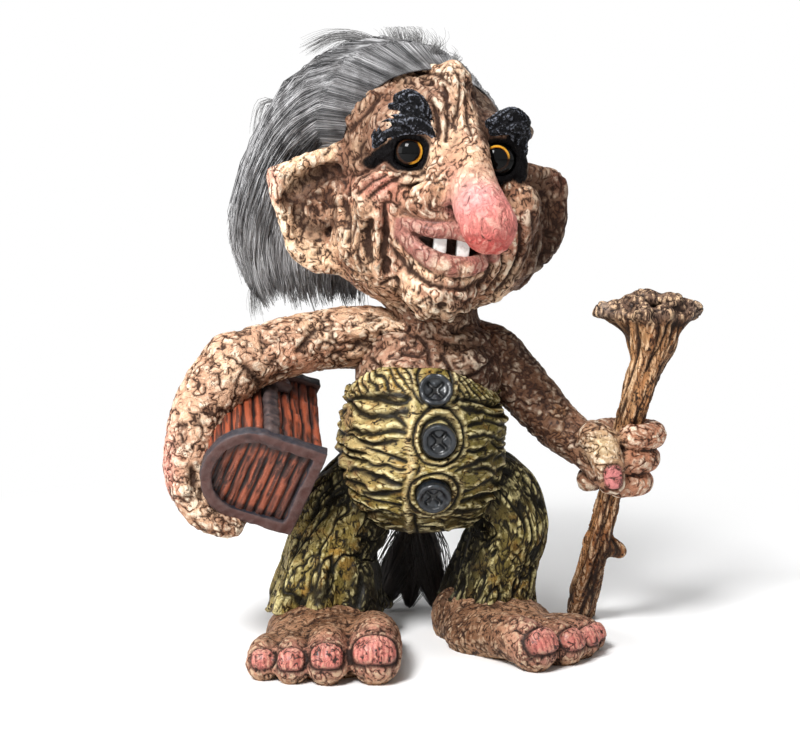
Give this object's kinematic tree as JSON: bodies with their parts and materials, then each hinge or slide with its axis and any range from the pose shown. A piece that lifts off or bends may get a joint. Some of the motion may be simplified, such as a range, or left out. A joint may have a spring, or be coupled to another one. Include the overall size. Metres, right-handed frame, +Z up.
{
  "type": "folk troll figure",
  "caption": "Standing folk troll figure with long nose, glass eyes, grey hair, buttoned trousers, a treasure chest under one arm and a root stick in the other hand.",
  "frame": {"origin": "middle of the figure's outline on the surface that it stands on", "axes": "+Z up, the figure looks along -Y, its own left hand is at +X"},
  "size_m": [0.2756, 0.1947, 0.3156],
  "materials": {
    "skin": "painted casting, dull, dark wash in carved lines",
    "eye_glass": "polished glass",
    "brow": "painted casting, satin",
    "tooth": "satin",
    "hair": "long wavy pile",
    "wig_backing": "woven backing",
    "trousers": "painted casting, dull, dark wash in folds",
    "foot_skin": "painted casting, dull",
    "button": "painted, satin gloss",
    "tuft": "short pile",
    "stick": "weathered wood, dull",
    "chest_wood": "painted casting, planks",
    "chest_metal": "painted casting, worn metal look",
    "dowel": "plain steel"
  },
  "bodies": {
    "root": {"head": "skin", "right_eye": "eye_glass", "left_eye": "eye_glass", "right_brow": "brow", "left_brow": "brow", "right_tooth": "tooth", "left_tooth": "tooth", "wig_skin": "wig_backing", "hair": "hair", "trunk": "skin", "trousers_seat": "trousers", "right_arm": "skin", "left_arm": "skin", "right_trouser_leg": "trousers", "left_trouser_leg": "trousers", "right_foot": "foot_skin", "left_foot": "foot_skin", "top_button": "button", "middle_button": "button", "bottom_button": "button", "tail": "skin", "tail_tuft": "tuft", "walking_stick": "stick", "chest_box": "chest_wood", "chest_lid": "chest_wood", "chest_bands": "chest_metal", "chest_hasp": "chest_metal", "neck_dowel": "dowel", "waist_dowel": "dowel", "right_shoulder_dowel": "dowel", "left_shoulder_dowel": "dowel", "right_hip_dowel": "dowel", "left_hip_dowel": "dowel", "right_ankle_dowel": "dowel", "left_ankle_dowel": "dowel"}
  },
  "joints": []
}
